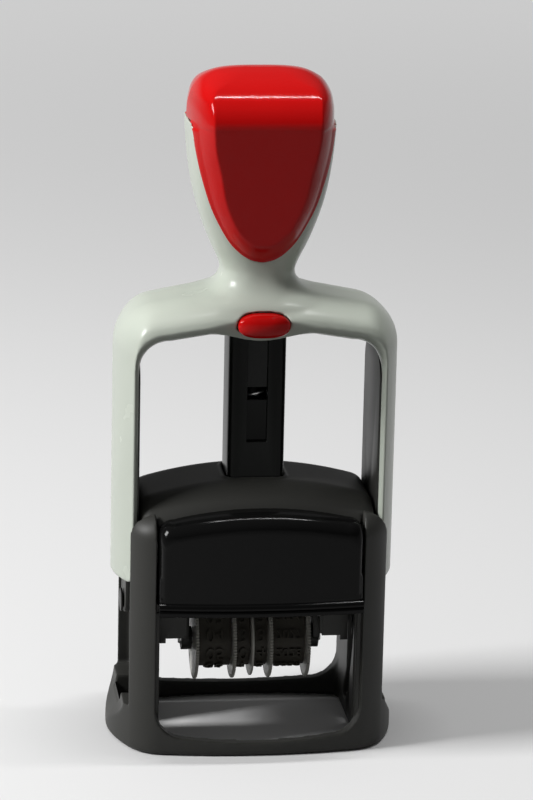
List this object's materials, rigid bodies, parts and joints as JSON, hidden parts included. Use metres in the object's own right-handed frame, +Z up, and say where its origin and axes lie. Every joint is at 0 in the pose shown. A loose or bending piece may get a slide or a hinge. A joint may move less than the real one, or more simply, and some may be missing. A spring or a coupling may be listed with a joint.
{
  "type": "self-inking date stamp",
  "caption": "Self-inking date stamp: a sprung handle on a guide column turns a die over from its ink pad to the paper; thumb wheels set the date.",
  "frame": {"origin": "middle of the foot's underside, on the table", "axes": "+Z up along the guide column, the ink drawer faces -Y, +X to the right seen from the front"},
  "size_m": [0.0782, 0.0576, 0.183],
  "materials": {
    "shell_grey": "gloss",
    "grip_red": "gloss",
    "gloss_black": "gloss",
    "satin_black": "matte",
    "wheel_grey": "matte",
    "rubber_grey": "matte",
    "pad_felt": "matte",
    "steel": "brushed"
  },
  "bodies": {
    "base": {"base_frame": "satin_black", "top_cover": "satin_black", "cover_screw_front_left": "steel", "cover_screw_rear_left": "steel", "cover_screw_front_right": "steel", "cover_screw_rear_right": "steel", "guide_column": "gloss_black", "column_screw_left": "steel", "column_screw_right": "steel", "return_spring": "steel", "rear_cover": "gloss_black"},
    "handle": {"handle_frame": "shell_grey", "handle_cap": "grip_red", "press_arm_left": "satin_black", "press_arm_right": "satin_black", "arm_screw_left": "steel", "arm_screw_right": "steel", "pivot_pin_left": "steel", "pivot_pin_right": "steel", "spring_plunger": "satin_black", "plunger_screw": "steel", "button_spring": "steel"},
    "button": {"lock_button": "grip_red"},
    "drawer": {"pad_cassette": "gloss_black", "ink_pad": "pad_felt"},
    "die": {"die_carrier": "satin_black", "text_plate": "rubber_grey", "band_bridge": "satin_black", "band_axle": "steel", "month_band": "rubber_grey", "tens_band": "rubber_grey", "units_band": "rubber_grey", "year_band": "rubber_grey", "wheel_separator": "wheel_grey"},
    "month": {"month_wheel": "wheel_grey"},
    "tens": {"tens_wheel": "wheel_grey"},
    "units": {"units_wheel": "wheel_grey"},
    "year": {"year_wheel": "wheel_grey"}
  },
  "joints": [
    {"name": "handle_press", "type": "slide", "parent": "base", "child": "handle", "axis": [0, 0, -1], "range_m": [0, 0.032], "stiffness_N_per_m": 500, "springref_m": -0.02, "deforming": ["return_spring"]},
    {"name": "die_flip", "type": "hinge", "parent": "handle", "child": "die", "pos_m": [0, 0, 0.0363], "axis": [1, 0, 0], "range_deg": [0, 180]},
    {"name": "lock_press", "type": "slide", "parent": "handle", "child": "button", "axis": [0, 1, 0], "range_m": [0, 0.002], "stiffness_N_per_m": 600, "springref_m": -0.002, "deforming": ["button_spring"]},
    {"name": "drawer_slide", "type": "slide", "parent": "base", "child": "drawer", "axis": [0, -1, 0], "range_m": [0, 0.046]},
    {"name": "month_turn", "type": "hinge", "parent": "die", "child": "month", "pos_m": [0, 0, 0.0249], "axis": [1, 0, 0], "continuous": true},
    {"name": "tens_turn", "type": "hinge", "parent": "die", "child": "tens", "pos_m": [0, 0, 0.0249], "axis": [1, 0, 0], "continuous": true},
    {"name": "units_turn", "type": "hinge", "parent": "die", "child": "units", "pos_m": [0, 0, 0.0249], "axis": [1, 0, 0], "continuous": true},
    {"name": "year_turn", "type": "hinge", "parent": "die", "child": "year", "pos_m": [0, 0, 0.0249], "axis": [1, 0, 0], "continuous": true}
  ],
  "couplings": [
    {"joint": "die_flip", "follows": "handle_press", "rad_per_m": 98.1}
  ]
}
